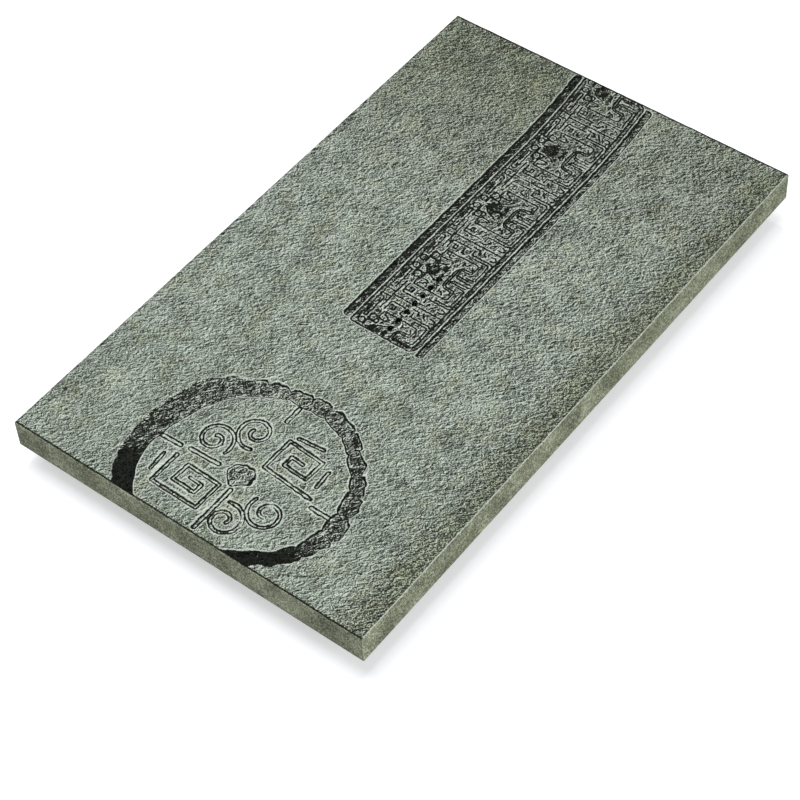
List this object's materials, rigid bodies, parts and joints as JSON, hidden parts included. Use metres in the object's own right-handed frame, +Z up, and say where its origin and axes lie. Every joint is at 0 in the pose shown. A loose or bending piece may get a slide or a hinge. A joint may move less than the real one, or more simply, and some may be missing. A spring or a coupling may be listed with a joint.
{
  "type": "gongfu tea tray",
  "caption": "Flat rectangular stone tea tray with a carved fret band, drain holes into a screwed-on pan, and screw levelling feet.",
  "frame": {"origin": "centre of the footprint, on the table surface under the feet", "axes": "+X along the length, towards the short edge that the band runs off; +Y towards the rear long edge; +Z up"},
  "size_m": [0.5, 0.3, 0.045],
  "materials": {
    "stone": "rough split grey-green top, sawn olive-grey edges",
    "pan_plastic": "fine moulded grain",
    "gasket_rubber": "matt",
    "screw_steel": "turned stainless",
    "brass": "machined",
    "foot_rubber": "matt",
    "foot_steel": "turned stainless",
    "wheel_steel": "turned stainless, notched rim",
    "clip_steel": "spring steel"
  },
  "bodies": {
    "slab": {"stone_slab": "stone", "drain_pan": "pan_plastic", "drain_gasket": "gasket_rubber", "drain_screws": "screw_steel", "drain_anchors": "brass", "foot_insert_front_left": "brass", "foot_insert_front_right": "brass", "foot_insert_rear_left": "brass", "foot_insert_rear_right": "brass"},
    "foot_front_left": {"foot_pad_front_left": "foot_rubber", "foot_cup_front_left": "foot_steel", "foot_clip_front_left": "clip_steel"},
    "screw_front_left": {"foot_stud_front_left": "foot_steel", "foot_wheel_front_left": "wheel_steel"},
    "foot_front_right": {"foot_pad_front_right": "foot_rubber", "foot_cup_front_right": "foot_steel", "foot_clip_front_right": "clip_steel"},
    "screw_front_right": {"foot_stud_front_right": "foot_steel", "foot_wheel_front_right": "wheel_steel"},
    "foot_rear_left": {"foot_pad_rear_left": "foot_rubber", "foot_cup_rear_left": "foot_steel", "foot_clip_rear_left": "clip_steel"},
    "screw_rear_left": {"foot_stud_rear_left": "foot_steel", "foot_wheel_rear_left": "wheel_steel"},
    "foot_rear_right": {"foot_pad_rear_right": "foot_rubber", "foot_cup_rear_right": "foot_steel", "foot_clip_rear_right": "clip_steel"},
    "screw_rear_right": {"foot_stud_rear_right": "foot_steel", "foot_wheel_rear_right": "wheel_steel"}
  },
  "joints": [
    {"name": "level_front_left", "type": "slide", "parent": "slab", "child": "foot_front_left", "axis": [0, 0, -1], "range_m": [-0.00375, 0.005]},
    {"name": "turn_front_left", "type": "hinge", "parent": "foot_front_left", "child": "screw_front_left", "pos_m": [-0.215, -0.115, 0.012], "axis": [0, 0, -1], "range_deg": [-1081, 1441]},
    {"name": "level_front_right", "type": "slide", "parent": "slab", "child": "foot_front_right", "axis": [0, 0, -1], "range_m": [-0.00375, 0.005]},
    {"name": "turn_front_right", "type": "hinge", "parent": "foot_front_right", "child": "screw_front_right", "pos_m": [0.215, -0.115, 0.012], "axis": [0, 0, -1], "range_deg": [-1081, 1441]},
    {"name": "level_rear_left", "type": "slide", "parent": "slab", "child": "foot_rear_left", "axis": [0, 0, -1], "range_m": [-0.00375, 0.005]},
    {"name": "turn_rear_left", "type": "hinge", "parent": "foot_rear_left", "child": "screw_rear_left", "pos_m": [-0.215, 0.115, 0.012], "axis": [0, 0, -1], "range_deg": [-1081, 1441]},
    {"name": "level_rear_right", "type": "slide", "parent": "slab", "child": "foot_rear_right", "axis": [0, 0, -1], "range_m": [-0.00375, 0.005]},
    {"name": "turn_rear_right", "type": "hinge", "parent": "foot_rear_right", "child": "screw_rear_right", "pos_m": [0.215, 0.115, 0.012], "axis": [0, 0, -1], "range_deg": [-1081, 1441]}
  ],
  "couplings": [
    {"joint": "turn_front_left", "follows": "level_front_left", "rad_per_m": 5026.5},
    {"joint": "turn_front_right", "follows": "level_front_right", "rad_per_m": 5026.5},
    {"joint": "turn_rear_left", "follows": "level_rear_left", "rad_per_m": 5026.5},
    {"joint": "turn_rear_right", "follows": "level_rear_right", "rad_per_m": 5026.5}
  ]
}
